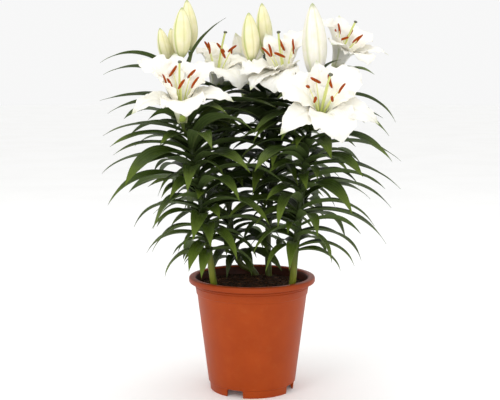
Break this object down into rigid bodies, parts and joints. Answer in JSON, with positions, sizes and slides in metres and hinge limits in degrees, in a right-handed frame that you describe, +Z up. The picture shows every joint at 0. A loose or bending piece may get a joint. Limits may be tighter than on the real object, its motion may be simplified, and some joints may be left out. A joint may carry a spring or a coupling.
{
  "type": "potted lily",
  "caption": "Flowering lily plant with white trumpet blooms, buds and narrow leaves, growing in a tapered round plastic pot.",
  "frame": {"origin": "middle of the pot's foot ring, at the surface that the pot stands on", "axes": "+Z up along the pot's axis, -Y towards the side that the picture shows, +X to the right of it"},
  "size_m": [0.4407, 0.3307, 0.584],
  "materials": {
    "pot": "satin terracotta-coloured plastic",
    "soil": "moist crumbly peat soil",
    "leaf": "glossy waxy green leaves and stems",
    "petal": "soft matt white tepals, greenish in the throat",
    "stamen": "powdery orange-brown anthers on pale green filaments",
    "bud": "satin cream buds with green ribs"
  },
  "bodies": {
    "root": {"pot": "pot", "soil": "soil", "stem_front_left": "leaf", "stem_front_right": "leaf", "stem_back_left": "leaf", "stem_back_right": "leaf", "bloom_low_right_petals": "petal", "bloom_low_right_stamens": "stamen", "bloom_middle_petals": "petal", "bloom_middle_stamens": "stamen", "bloom_low_left_petals": "petal", "bloom_low_left_stamens": "stamen", "bloom_high_right_petals": "petal", "bloom_high_right_stamens": "stamen", "bloom_middle_left_petals": "petal", "bloom_middle_left_stamens": "stamen", "bloom_back_petals": "petal", "bloom_back_stamens": "stamen", "bud_left_front": "bud", "bud_left_tall": "bud", "bud_left_far": "bud", "bud_left_small": "bud", "bud_middle_front": "bud", "bud_middle_tall": "bud", "bud_right_ripe": "bud"}
  },
  "joints": []
}
